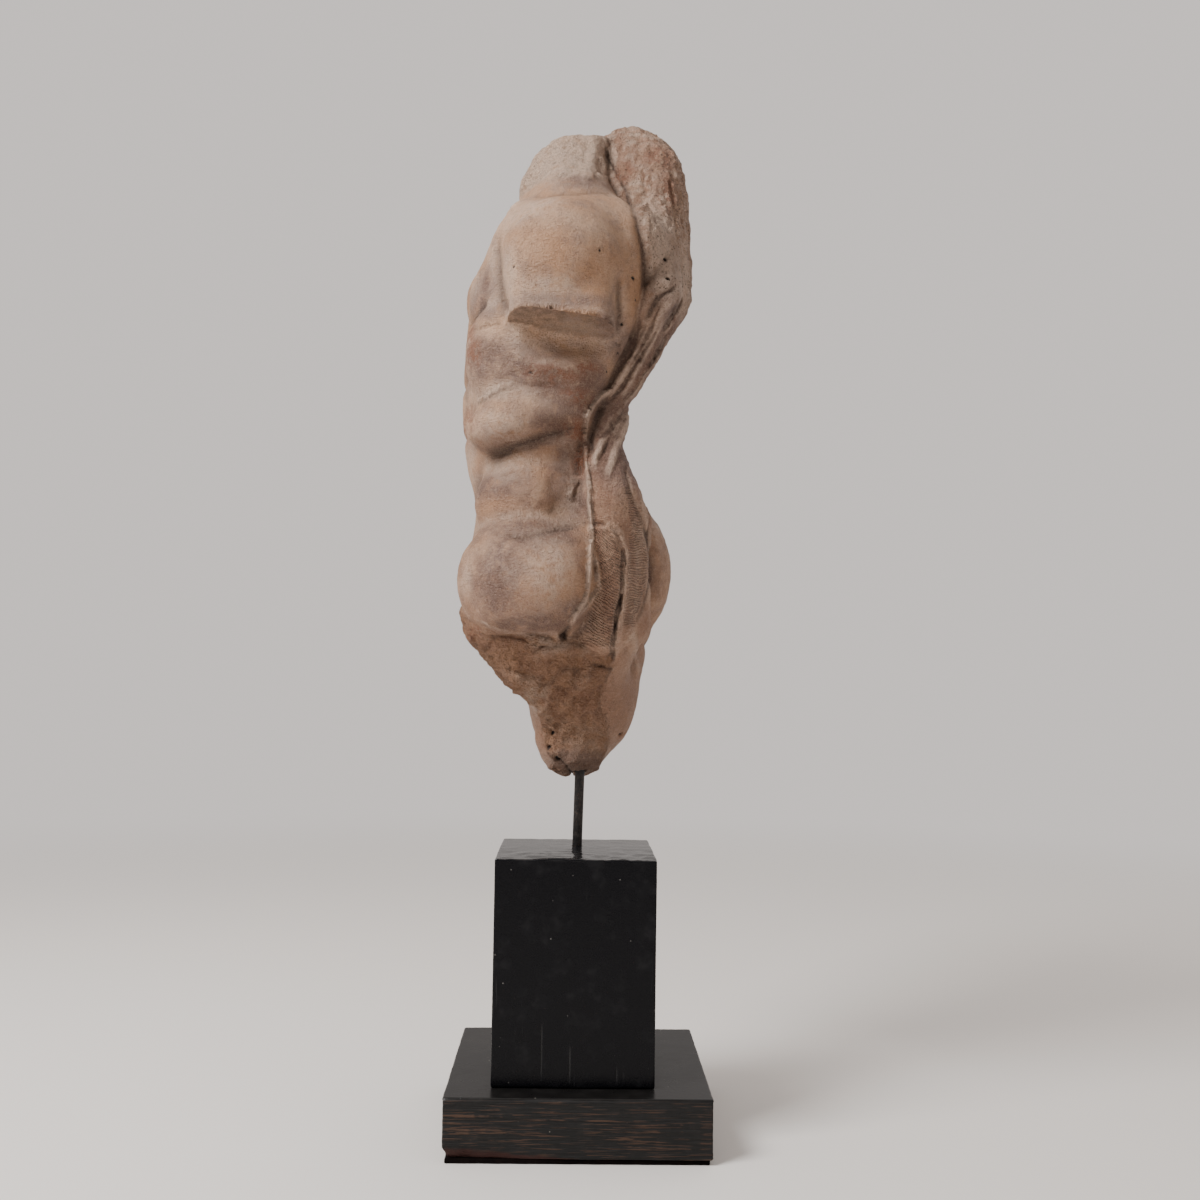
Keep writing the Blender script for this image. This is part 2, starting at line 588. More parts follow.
def netOf(values, low, cell):
    inside = values < 0
    nx, ny, nz = values.shape
    filled = np.zeros((nx - 1, ny - 1, nz - 1), np.int8)
    for a, b, c in np.ndindex(2, 2, 2):
        filled += inside[a:nx - 1 + a, b:ny - 1 + b, c:nz - 1 + c]
    cells = np.argwhere((filled > 0) & (filled < 8))
    idOfCell = -np.ones(filled.shape, np.int64)
    idOfCell[tuple(cells.T)] = np.arange(len(cells))
    total = np.zeros((len(cells), 3))
    crossings = np.zeros(len(cells))
    for corner in np.ndindex(2, 2, 2):
        for axis in range(3):
            if corner[axis]:
                continue
            other = list(corner)
            other[axis] = 1
            here = values[tuple((cells + corner).T)]
            there = values[tuple((cells + other).T)]
            cross = (here < 0) != (there < 0)
            place = np.tile(np.array(corner, float), (len(cells), 1))
            place[:, axis] = np.where(cross, here / (here - there + 1e-12), 0)
            total[cross] += place[cross]
            crossings[cross] += 1
    points = low + cell * (cells + total / crossings[:, None])
    rings = []
    for axis in range(3):
        side, other = [i for i in range(3) if i != axis]
        first = [slice(1, -1)] * 3
        second = [slice(1, -1)] * 3
        first[axis] = slice(0, -1)
        second[axis] = slice(1, None)
        a, b = inside[tuple(first)], inside[tuple(second)]
        for change, backwards in ((a & ~b, axis == 1), (~a & b, axis != 1)):
            base = np.argwhere(change)
            base[:, side] += 1
            base[:, other] += 1
            ring = []
            for stepSide, stepOther in ((-1, -1), (0, -1), (0, 0), (-1, 0)):
                at = base.copy()
                at[:, side] += stepSide
                at[:, other] += stepOther
                ring.append(idOfCell[tuple(at.T)])
            ring = np.stack(ring, 1)
            rings.append(ring[:, ::-1] if backwards else ring)
    return points, np.concatenate(rings)


# What is worked into the surface after the forms and lines, in thousandths too
relief = {
    "cell": 6.1,              # spacing of the first net
    "skinWave": (3.2, 46),    # height and size of the slow unevenness of the skin
    "skinGrain": (1.8, 9),
    "break": (13, 36),        # broken plaster: lumps, then grit
    "breakGrit": (6, 12),
    "breakCrumb": (4, 5.5),
    "neckBreak": (7, 34),
    "neckGrit": (3.2, 6),
    "weather": (9, 15),       # the mantle's worn near face, drawn out along z
    "weatherGrit": (5, 6),
    "sawn": (2.2, 7),
    "combPeriod": 3.8,        # the toothed strokes on the cloth at the hip
    "creaseReach": (6, 14, 32),     # how far off a crease or an edge is felt for
}

# Toothed strokes: edges as (z, x) from the bottom up, and the way the strokes follow each other
combs = {
    "near": {"front": ((189, -9), (249, 8), (290, 20), (338, 11), (362, 8)),
             "back": ((182, 39), (238, 45), (309, 53), (338, 47), (364, 32)), "step": (0.5, 0.87)},
    "far": {"front": ((220, 52), (275, 58), (333, 60), (376, 60), (425, 50)),
            "back": ((238, 74), (265, 85), (300, 92), (332, 92), (385, 77), (425, 60)), "step": (-0.2, 1)},
}
# Where the mantle's near face begins on the left side, as (z, x)
mantleEdge = ((664, 96), (689, 79), (739, 75), (793, 67), (877, 52), (924, 32), (965, 17))
# The broken face of the leg, edges again as (z, x)
legBreak = {"front": ((0, -60), (25, -52), (70, -62), (104, -68), (128, -100), (150, -200)),
            "back": ((0, 40), (20, 36), (60, 40), (120, 26), (182, 46), (230, 60))}
# Small holes and pits: x, z, radius and depth
holes = {
    "footUpper": (-46, 66, 5.5, 9), "footMiddle": (-49, 46, 4, 5), "footLower": (-37, 32, 7, 8),
    "legBack": (57, 64, 4.5, 8), "mantleUpper": (46, 653, 2.6, 3), "mantleLower": (62, 716, 3.6, 4),
    "mantleMiddle": (66, 690, 3, 4), "flankUpper": (42, 618, 2.4, 3), "flankMiddle": (26, 589, 1.8, 2),
    "flankFront": (-83, 577, 1.8, 2), "mantlePit": (108, 758, 5, 5), "mantlePitLow": (112, 727, 4, 5),
    "armFirst": (-107, 712, 2.6, 2), "armMark": (12, 735, 3, 2),
}
# Marks of age on the left side: x, z, and how far they reach in x and z
stains = {       # rust brown
    "ribs": (-45, 577, 34, 14), "ribsBack": (-8, 589, 26, 9), "waist": (-20, 548, 20, 12),
    "breast": (-174, 640, 10, 26), "breastLow": (-168, 612, 12, 20), "belly": (-176, 520, 14, 22),
    "seamUpper": (-10, 460, 14, 24), "mantleTop": (50, 905, 20, 16), "hipLip": (-158, 212, 14, 8),
    "mantleCrown": (100, 935, 24, 24), "mantleStreak": (114, 872, 16, 34), "flankLow": (-16, 500, 12, 18),
}
grimes = {       # violet-brown patina
    "armLower": (-38, 664, 84, 12), "armPit": (34, 636, 24, 34),
    "ribs": (-70, 578, 72, 30), "ribsBack": (-36, 548, 44, 26), "flankUpper": (-26, 542, 34, 32),
    "ribFlank": (6, 560, 34, 46), "breastSide": (-150, 700, 30, 36), "breastUnder": (-150, 600, 30, 34),
    "breastLow": (-146, 674, 22, 20), "waistCloth": (44, 500, 40, 60),
    "rollUnder": (-92, 486, 62, 12), "rollBack": (-54, 508, 34, 28), "waistBack": (-28, 455, 30, 44),
    "flankDark": (-14, 395, 16, 22), "hipCrease": (-75, 350, 62, 22), "hipFront": (-122, 284, 30, 56),
    "hipLow": (-66, 222, 64, 16), "hipLowBack": (-20, 240, 24, 18), "rollFront": (-128, 420, 40, 26),
    "mantleFoot": (126, 700, 34, 60), "waistLow": (48, 470, 36, 50), "neckBase": (-6, 868, 40, 15),
    "cheekBack": (126, 300, 24, 60), "legFoot": (12, 16, 60, 22),
}
lights = {       # where hands and dusting have worn it pale
    "armEdge": (-116, 706, 14, 40), "armBand": (-50, 684, 50, 16), "shoulder": (-84, 800, 40, 26),
    "neckFace": (-48, 920, 34, 40), "rollTop": (-138, 504, 26, 20), "rollTopBack": (-108, 494, 26, 22),
    "rollLowTop": (-116, 450, 36, 20), "hipMiddle": (-52, 294, 36, 44),
    "hipLeft": (-168, 290, 8, 30), "belly": (-176, 480, 12, 44), "breastTop": (-172, 738, 10, 30),
    "ridge": (-128, 556, 30, 10), "underArm": (-34, 626, 64, 14), "mantlePale": (106, 768, 17, 84),
    "mantleSide": (140, 740, 14, 44), "neckEdge": (22, 925, 12, 32), "breakLip": (-46, 196, 30, 12),
    "breakPale": (-70, 120, 20, 26),
}
shades = {       # dark brown patina in the sheltered places
    "flank": (-22, 535, 26, 40), "flankLow": (-14, 480, 20, 34), "waist": (46, 495, 24, 46),
    "mantleFoot": (126, 660, 12, 34), "mantleLow": (108, 646, 18, 40), "drape": (76, 610, 22, 30),
    "waistSeam": (24, 466, 20, 34), "foot": (20, 18, 56, 20), "ribs": (-30, 556, 34, 26),
    "rollShadow": (-80, 482, 46, 7),
}


# The saw cuts, and what leaves each one out, so that its rim can be found
sawCuts = {"armEnd": {"withArmCut": False}, "shoulderEnd": {"withShoulderCut": False}}


def combShare(points, comb):
    x, z = points[:, 0], points[:, 2]
    frontZ, frontX = zip(*comb["front"])
    backZ, backX = zip(*comb["back"])
    inFront = (x - np.interp(z, frontZ, frontX)) / 4
    inBack = (np.interp(z, backZ, backX) - x) / 4
    inHeight = np.minimum(z - frontZ[0], frontZ[-1] - z) / 6
    nearSide = (-50 - points[:, 1]) / 12
    return np.clip(np.minimum.reduce([inFront, inBack, inHeight, nearSide]), 0, 1)


# How many strokes come before each point
def combCount(points, comb):
    wobble = patches(points, 16, 31) * 2 + patches(points, 6, 32) * 0.5
    return (points[:, 0] * comb["step"][0] + points[:, 2] * comb["step"][1]) / relief["combPeriod"] + wobble


# How strongly one kind of age mark shows at each point
def markShare(points, marks):
    ragged = 0.4 + 1.2 * patches(points, 28, 51, 4)
    shares = [np.hypot((points[:, 0] - x) / wide, (points[:, 2] - z) / tall)
              for x, z, wide, tall in marks.values()]
    return np.clip(1.5 - np.min(shares, axis=0) * ragged, 0, 1) * np.clip(0.5 - points[:, 1] / 60, 0, 1)


def holeShare(points, hole):
    x, z, radius, depth = hole
    uneven = 0.3 + 1.5 * patches(points, 4.5, 33, 2)
    away = np.hypot(points[:, 0] - x, points[:, 2] - z) / radius * uneven
    return np.clip(1 - away ** 2, 0, 1) ** 2 * (points[:, 1] < 20)


# How strongly each kind of surface shows at each point
def surfaceShares(points):
    body, thigh, cloth = figureParts(points)
    onCut = {name: np.clip(1.6 - np.abs(cutDistance(points, name)) / 4, 0, 1) for name in cuts}
    x, y, z = points.T
    clothShare = np.clip(0.5 + (np.minimum(body, thigh) - cloth) / 8, 0, 1)
    pastEdge = np.clip((x - np.interp(z, *zip(*mantleEdge))) / 5, 0, 1)
    clothShare = np.maximum(clothShare, pastEdge * (z > mantleEdge[0][0]) * (z < 975) * (y < 20))
    thighShare = np.clip(0.5 + (body - thigh) / 4, 0, 1) * (1 - clothShare)
    breakStart, breakEnd = (np.interp(z, *zip(*edge)) for edge in (legBreak["front"], legBreak["back"]))
    uneven = 14 * (patches(points, 22, 34, 2) - 0.5)
    inBreak = np.minimum(x - breakStart, breakEnd - x) + uneven
    legSmooth = 1 - np.clip(inBreak / 6, 0, 1) * np.clip(0.5 - y / 20, 0, 1)
    return {
        "cloth": clothShare,
        "broken": np.clip(thighShare * (1 - 0.9 * legSmooth) + onCut["foot"] * (z < 40), 0, 1),
        "neck": np.clip((z - 872) / 18, 0, 1) * (1 - clothShare),
        "sawn": np.maximum(onCut["armEnd"] * (y < -140), onCut["shoulderEnd"] * (z > 600)),
        "weathered": clothShare * np.clip((z - 680) / 30, 0, 1),
        "hip": onCut["hipUnder"] * (1 - clothShare) * (1 - thighShare),
    }


# Steepest way off the surface
def normalsAt(points, reach=0.7):
    here = figureDistance(points)
    slope = np.stack([figureDistance(points + step) - here for step in np.eye(3) * reach], 1) / reach
    return here, slope, slope / (np.linalg.norm(slope, axis=1)[:, None] + 1e-9)


def drawnOnto(points, limit):
    for turn in range(3):
        d, slope, _ = normalsAt(points)
        step = slope * (d / ((slope ** 2).sum(1) + 1e-6))[:, None]
        length = np.linalg.norm(step, axis=1)[:, None]
        points = points - step * np.minimum(1, limit / (length + 1e-9))
    return points


# Net points near both a saw cut and the surface are drawn onto the cut's rim
def sharpenRims(points, reach):
    for cutName, leftOut in sawCuts.items():
        both = (lambda p: figureDistance(p, **leftOut)), (lambda p: cutDistance(p, cutName))
        near = np.logical_and(*(np.abs(at(points)) < reach for at in both))
        rim = points[near]
        for at in both * 4:
            d = at(rim)
            slope = np.stack([at(rim + step) - d for step in np.eye(3)], 1)
            rim = rim - slope * (d / ((slope ** 2).sum(1) + 1e-9))[:, None]
        points[near] = rim


# 1 on a saw cut's own face, by the way the surface faces
def facingShare(normals, cutName):
    normal = np.array(cuts[cutName][1], float)
    return np.clip((normals @ (normal / np.linalg.norm(normal)) - 0.6) / 0.25, 0, 1)


# How near a point is to a saw cut's rim
def rimShare(points, cutName):
    away = np.abs(cutDistance(points, cutName)) + np.abs(figureDistance(points, **sawCuts[cutName]))
    return np.clip(1.6 - away / 5, 0, 1)


# 1 where the net is halved once, 2 where it is halved twice
def wantedLevel(points):
    shares = surfaceShares(points)
    level = np.zeros(len(points))
    nearSide = points[:, 1] < 30
    once = (shares["cloth"] > 0.3) & nearSide
    once |= (shares["broken"] > 0.3) & nearSide
    once |= (shares["sawn"] > 0.01) & (np.abs(figureParts(points, False, False)[0]) < 9)
    once |= (shares["neck"] > 0.2) | (np.abs(linesHeight(points)) > 1.2) | (shares["hip"] > 0.3)
    level[once] = 1
    twice = np.zeros(len(points), bool)
    for hole in holes.values():
        x, z, radius, _ = hole
        twice |= (np.hypot(points[:, 0] - x, points[:, 2] - z) < radius * 1.5 + 3) & nearSide
    twice |= (holeDistance(points) < 6) & (points[:, 2] < 14)
    twice |= (rimShare(points, "armEnd") > 0.3) & (points[:, 1] < -140)
    seamAway = lineHeight(leftLines["seam"], points[:, 0], points[:, 2])
    grooveAway = lineHeight(leftLines["longGroove"], points[:, 0], points[:, 2])
    twice |= (np.maximum(seamAway, -grooveAway) > 0.3) & (points[:, 1] < carving["leftLimit"])
    level[twice] = 2
    return level


def halved(points, faces):
    mesh = meshOf("figureNet", points, faces)
    work = bmesh.new()
    work.from_mesh(mesh)
    bpy.data.meshes.remove(mesh)
    for turn in (1, 2):
        where = np.array([vert.co for vert in work.verts])
        wanted = wantedLevel(where) >= turn
        work.verts.index_update()
        edges = [edge for edge in work.edges if wanted[edge.verts[0].index] and wanted[edge.verts[1].index]]
        bmesh.ops.subdivide_edges(work, edges=edges, cuts=1, use_grid_fill=True)
    bmesh.ops.triangulate(work, faces=[face for face in work.faces if len(face.verts) > 4])
    work.verts.index_update()
    points = np.array([vert.co for vert in work.verts])
    faces = [[vert.index for vert in face.verts] for face in work.faces]
    work.free()
    return points, faces


def ridged(values):
    return 1 - np.abs(2 * values - 1)


def roughness(points, name, seed, layers=2, stretch=(1, 1, 1), crisp=False):
    height, size = relief[name]
    value = patches(points * stretch, size, seed, layers)
    return height * ((ridged(value) - 0.6) if crisp else (value - 0.5))


def reliefAt(points, normals, shares):
    plain = 1 - np.clip(shares["broken"] + shares["cloth"] + shares["neck"] + shares["sawn"], 0, 1)
    height = roughness(points, "skinWave", 1)
    height = height + plain * roughness(points, "skinGrain", 2, 3)
    height += shares["broken"] * (roughness(points, "break", 3, 3, (1, 1, 0.8), True)
                                  + roughness(points, "breakGrit", 4, 3, crisp=True)
                                  + roughness(points, "breakCrumb", 12, 2))
    height += shares["neck"] * (roughness(points, "neckBreak", 5, 3, (1, 1, 0.7), True)
                                + roughness(points, "neckGrit", 6, 2))
    height += shares["weathered"] * (roughness(points, "weather", 7, 3, (1, 1, 0.3), True)
                                     + roughness(points, "weatherGrit", 8, 2, (1, 1, 0.6)))
    height += (shares["cloth"] - shares["weathered"]) * roughness(points, "weatherGrit", 9, 2) * 0.6
    height += shares["sawn"] * roughness(points, "sawn", 10, 2)
    height += shares["hip"] * roughness(points, "breakGrit", 11, 2)
    holed = np.zeros(len(points))
    leftFacing = np.clip(0.3 - 3 * normals[:, 1], 0, 1)
    for hole in holes.values():
        share = holeShare(points, hole) * leftFacing
        height -= hole[3] * share
        holed = np.maximum(holed, share)
    return height, holed


# How closed in (hollow) and how exposed (ridge) the surface is at each point
def openness(points, normals):
    hollow, ridge = 0, 0
    reaches = relief["creaseReach"]
    for reach in reaches:
        hollow = hollow + np.clip(1 - figureDistance(points + normals * reach) / reach, 0, 1) / len(reaches)
        ridge = ridge + np.clip(1 + figureDistance(points - normals * reach) / reach, 0, 1) / len(reaches)
    return hollow, ridge


def finePoints():
    points, faces = surfaceNet(figureDistance, carving["low"], carving["high"], relief["cell"])
    reach = relief["cell"] * 0.75
    sharpenRims(points, reach)
    points, faces = halved(points, faces)
    points = drawnOnto(points, relief["cell"] * 0.4)
    sharpenRims(points, reach / 2)
    shares = surfaceShares(points)
    _, _, normals = normalsAt(points, 1.5)
    hollow, ridge = openness(points, normals)
    facing = np.maximum(*(facingShare(normals, name) for name in sawCuts))
    onArmCut = np.abs(cutDistance(points, "armEnd")) < 1.5
    shares["sawn"] = shares["sawn"] * facing * (onArmCut | (points[:, 1] > 0))
    height, holed = reliefAt(points, normals, shares)
    combed = [combShare(points, comb) for comb in combs.values()]
    farther = points[:, 0] > np.interp(points[:, 2], *zip(*combs["near"]["back"])) + 4
    combPlace = np.where(farther, combCount(points, combs["far"]), combCount(points, combs["near"]))
    rim = np.maximum(*(rimShare(points, name) for name in sawCuts))
    height *= (1 - rim) * np.clip(holeDistance(points) / 12, 0, 1)     # nothing narrows the rod's hole
    ridge = ridge * (1 - rim) * (1 - 0.9 * shares["sawn"])
    inPit = np.clip(1.2 - np.maximum(formDistance(points, armPit), 0) / 16, 0, 1)
    hollow = hollow * (1 - 0.9 * inPit)
    carved = linesHeight(points)
    points = points + normals * height[:, None]
    values = {**shares, "hollow": hollow, "ridge": ridge, "holed": holed,
              "raised": np.clip(carved / 4 - 0.3, 0, 1) * (1 - shares["broken"]),
              "incised": np.clip(-carved / 5 - 0.4, 0, 1),
              "combed": np.maximum(*combed), "combPlace": combPlace}
    for name, marks in (("stained", stains), ("grimy", grimes), ("worn", lights), ("shaded", shades)):
        values[name] = markShare(points, marks)
    return points, faces, values


plasterColours = {
    "peach": (0.46, 0.240, 0.122),
    "cream": (0.59, 0.370, 0.240),
    "paleWear": (0.75, 0.545, 0.415),
    "tan": (0.29, 0.134, 0.074),
    "violetGrey": (0.17, 0.110, 0.099),
    "paleCloth": (0.54, 0.335, 0.222),
    "brown": (0.150, 0.072, 0.045),
    "sawn": (0.21, 0.135, 0.09),
    "crease": (0.060, 0.036, 0.026),
    "deep": (0.010, 0.008, 0.007),
    "rust": (0.26, 0.085, 0.033),
}


def plasterFinish():
    finish = Finish("agedPlaster")
    tone = plasterColours
    broad = finish.noise(16, 3, 0.5)
    cloudy = finish.noise(48, 5, 0.6, distortion=0.6)
    mottle = finish.noise(150, 5, 0.65)
    grain = finish.noise(900, 3, 0.6)
    stipple = finish.noise(400, 5, 0.75)
    chipped = finish.noise(85, 5, 0.6, distortion=1.2).between(0.44, 0.52)
    streaks = finish.noise(60, 4, 0.6, finish.stretched((1, 1, 0.28)))
    brushed = finish.noise(420, 2, 0.5, finish.stretched((0.35, 1, 1.6), (0, 0.5, 0)))
    pores = 1 - finish.spots(300).between(0.13, 0.24)
    pits = (1 - finish.spots(620).between(0.12, 0.34)) * cloudy.between(0.36, 0.58)
    hollow = finish.attribute("hollow").between(0.06, 0.6)
    ridge = finish.attribute("ridge").between(0.02, 0.4)
    turns = finish.attribute("combPlace") * (2 * math.pi)
    stroke = finish.attribute("combed") * (0.5 + 0.5 * turns.maths("COSINE"))
    cloth, broken, neck, sawn, weathered, holed, raised, incised = map(finish.attribute, (
        "cloth", "broken", "neck", "sawn", "weathered", "holed", "raised", "incised"))
    stained, grimy, worn, shaded = map(finish.attribute, ("stained", "grimy", "worn", "shaded"))
    height = finish.along(2)
    lower = 1 - height.between(0.40, 0.66)

    skin = finish.mix(broad.between(0.35, 0.65), tone["peach"], tone["cream"])
    skin = finish.layered(
        skin, tone, (cloudy.between(0.48, 0.72) * 0.45, "violetGrey"),
        (lower * cloudy.between(0.2, 0.65) * 0.6, "tan"),
        ((1 - height.between(0.34, 0.42)) * 0.55, "tan"))
    clothColour = finish.mix(0.25 + 0.6 * streaks.between(0.40, 0.64), tone["tan"], tone["paleCloth"])
    clothBrown = (1 - weathered) * (0.02 + 0.42 * height.between(0.46, 0.55))
    clothColour = finish.layered(
        clothColour, tone, (weathered * mottle.between(0.45, 0.6) * 0.6, "paleWear"), (clothBrown, "brown"))
    brokenColour = finish.mix(0.15 + 0.5 * cloudy.between(0.3, 0.66), tone["tan"], tone["peach"])
    brokenColour = finish.layered(
        brokenColour, tone, (mottle.between(0.5, 0.66) * 0.3, "brown"),
        (ridge * mottle.between(0.35, 0.6) * 0.5, "paleCloth"))
    colour = finish.mix(cloth, skin, clothColour)
    colour = finish.mix(broken, colour, brokenColour)
    colour = finish.layered(
        colour, tone, (neck * 0.6, "cream"), (neck * mottle.between(0.25, 0.55) * 0.7, "paleWear"),
        (sawn * (0.45 + 0.5 * mottle.between(0.35, 0.6)), "sawn"),
        (grimy * mottle.between(0.2, 0.6) * 0.8, "violetGrey"),
        (grimy ** 2 * cloudy.between(0.35, 0.55) * 0.6, "brown"),
        (shaded * mottle.between(0.15, 0.55) * 0.8, "brown"),
        (worn * mottle.between(0.3, 0.62) * 0.55, "paleWear"), (worn * weathered * 0.8, "paleWear"),
        (ridge * (1 - 0.7 * broken) * mottle.between(0.3, 0.6) * 0.5, "paleWear"),
        (hollow * (0.35 + 0.5 * mottle), "crease"), (raised * (0.3 + 0.5 * mottle), "paleWear"),
        (incised * 0.7, "crease"), (stained * mottle.between(0.40, 0.55) * 0.8, "rust"),
        (weathered * pores * 0.7, "crease"), (holed.between(0.15, 0.5), "deep"),
        (mottle.between(0.5, 0.7) * 0.3, "brown"), (stroke * 0.5, "brown"), (pits * 0.6, "brown"),
        (stipple.between(0.54, 0.61) * 0.26, "brown"),
        ((1 - stipple.between(0.38, 0.46)) * 0.16, "paleWear"),
        (grain.between(0.4, 0.7) * 0.14, "paleWear"))
    rough = 0.36 + mottle * 0.3 + broken * 0.2 + cloth * 0.14
    torn = finish.noise(260, 6, 0.7, distortion=0.8)
    below = finish.bump(mottle + 0.35 * cloudy - weathered * pores * 0.5 - pits * 0.25, 0.0028, 0.7)
    below = finish.bump(torn * (broken + 0.8 * neck + 0.7 * weathered + 0.3 * sawn), 0.006, 0.9, below)
    below = finish.bump(chipped * (broken + 0.6 * neck), 0.0035, 0.8, below)
    below = finish.bump(grain + 0.6 * brushed + 0.8 * (1 - stipple), 0.0022, 1, below)
    below = finish.bump(1 - stroke, 0.0012, 1, below)
    return finish.finished(Base_Color=colour, Roughness=rough, Normal=below)


def makeTorso():
    points, faces, values = finePoints()
    mesh = meshOf("brokenTorso", points * thousandth + figurePlace, faces)
    for name, value in values.items():
        addValues(mesh, name, value)
    return addPiece("brokenTorso", mesh, "plaster_torso", plasterFinish())


torso = makeTorso()
print("torso carved:", len(torso.data.vertices), "points,",
      sum(len(face.vertices) - 2 for face in torso.data.polygons), "triangles")


# Lattice positions along one side of a box: close together near both edges
def sideSteps(low, high, edge, spacing):
    ends = [0, edge * 0.35, edge * 0.7, edge, edge * 1.6]
    inner = high - low - 2 * ends[-1]
    count = max(2, round(inner / spacing))
    between = [low + ends[-1] + inner * i / count for i in range(1, count)]
    return np.array([low + end for end in ends] + between + [high - end for end in reversed(ends)])


# The skin of a box as a lattice of points, with its edges worn round by an uneven radius
def wornBox(low, high, look, seed, extraX=()):
    edge, wear = look["edge"], look["wear"]
    steps = [sideSteps(low[i], high[i], edge * (1 + wear), look["spacing"]) for i in range(3)]
    steps[0] = np.unique(np.round(np.concatenate([steps[0], extraX]), 6))
    last = [len(step) - 1 for step in steps]
    index, points, faces = {}, [], []

    def pointAt(place):
        if place not in index:
            index[place] = len(points)
            points.append([steps[i][place[i]] for i in range(3)])
        return index[place]

    for axis in range(3):
        side, other = (axis + 1) % 3, (axis + 2) % 3
        for end in (0, last[axis]):
            for a in range(last[side]):
                for b in range(last[other]):
                    ring = []
                    for da, db in ((0, 0), (1, 0), (1, 1), (0, 1)):
                        place = [0, 0, 0]
                        place[axis], place[side], place[other] = end, a + da, b + db
                        ring.append(pointAt(tuple(place)))
                    faces.append(ring if end else ring[::-1])
    points = np.array(points)
    uneven = patches(points, 0.012, seed, 3)[:, None]
    radius = edge * (1 + wear * (2 * uneven - 1))
    core = np.clip(points, np.array(low) + radius, np.array(high) - radius)
    away = points - core
    length = np.linalg.norm(away, axis=1)[:, None]
    return core + away / np.maximum(length, 1e-9) * radius, faces


def cutHole(piece):
    margin = rodSize["fit"] * 1.5
    cutter = bpy.data.objects.new("rodHole", rodMesh(margin, 0))
    bpy.context.scene.collection.objects.link(cutter)
    drill = piece.modifiers.new("rodHole", "BOOLEAN")
    drill.object, drill.operation, drill.solver = cutter, "DIFFERENCE", "EXACT"
    bpy.context.view_layer.update()
    drilled = bpy.data.meshes.new_from_object(piece.evaluated_get(bpy.context.evaluated_depsgraph_get()))
    piece.modifiers.clear()
    piece.data = drilled
    bpy.data.objects.remove(cutter)


# The rod from its foot to its end, or with a margin the hole that it sits in
def rodMesh(margin, unevenness):
    sides = rodSize["sides"]
    worn = rodSize["worn"]
    turn = Vector((0, 0, 1)).rotation_difference(rodRun).to_matrix()
    low, high = -margin, rodLength + margin
    rings = [(low, -worn), (low + worn, 0)]
    count = round((high - low) / rodSize["ringStep"])
    rings += [(low + worn + (high - low - 2 * worn) * i / count, 0) for i in range(1, count)]
    rings += [(high - worn, 0), (high, -worn)]
    points, faces = [], []
    for along, less in rings:
        for i in range(sides):
            angle = 2 * math.pi * i / sides
            radius = rodSize["radius"] + margin + less
            place = Vector((radius * math.cos(angle), radius * math.sin(angle), along))
            points.append(rodFoot + turn @ place)
    points = np.array(points)
    if unevenness:
        middle = np.array([rodFoot + rodRun * along for along, less in rings]).repeat(sides, 0)
        points = middle + (points - middle) * (1 - unevenness / rodSize["radius"]
                                               * patches(points, 0.004, 21, 2))[:, None]
    for ring in range(len(rings) - 1):
        for i in range(sides):
            a, b = ring * sides + i, ring * sides + (i + 1) % sides
            faces.append((a, b, b + sides, a + sides))
    faces.append(tuple(reversed(range(sides))))
    faces.append(tuple(range(len(points) - sides, len(points))))
    return meshOf("rod", points, faces)


steelColours = {"black": (0.018, 0.016, 0.016), "rubbed": (0.05, 0.042, 0.038), "rust": (0.16, 0.08, 0.045)}


def steelFinish():
    finish = Finish("blackSteel")
    patina = finish.noise(220, 4, 0.6)
    drawn = finish.noise(600, 2, 0.5, finish.stretched((1, 1, 0.05)))
    rusty = finish.noise(900, 2).between(0.62, 0.7) * 0.5
    colour = finish.layered(
        steelColours["black"], steelColours, (patina.between(0.4, 0.7), "rubbed"), (rusty, "rust"))
    rough = 0.3 + patina * 0.25
    return finish.finished(Base_Color=colour, Roughness=rough, Metallic=0.55,
                           Normal=finish.bump(drawn + patina, 0.0002, 0.4))


addPiece("steelRod", rodMesh(0, rodSize["unevenness"]), "mounting_rod", steelFinish())

blockLook = {
    "edge": 1.3 * mm,
    "spacing": 2.4 * mm,
    "wear": 0.6,
    "warp": 0.25 * mm,          # the faces are not quite flat
    "dentDepth": 1.3 * mm,
    "collar": (1.6 * mm, 7 * mm),   # paint built up round the rod's foot: height and reach
    "paint": (0.003, 0.003, 0.0042),
    "dust": (0.045, 0.044, 0.046),
    "fleck": (0.16, 0.15, 0.14),
    "crack": (0.035, 0.034, 0.034),
    # cracks down the front: x from the middle, top and bottom from the foot, depth
    "cracks": {"long": (-24, 49, 7, 0.9), "short": (-2.5, 33, 3, 0.6), "right": (33, 18, 4, 0.7),
               "edge": (38, 14, 6, 0.5)},
}


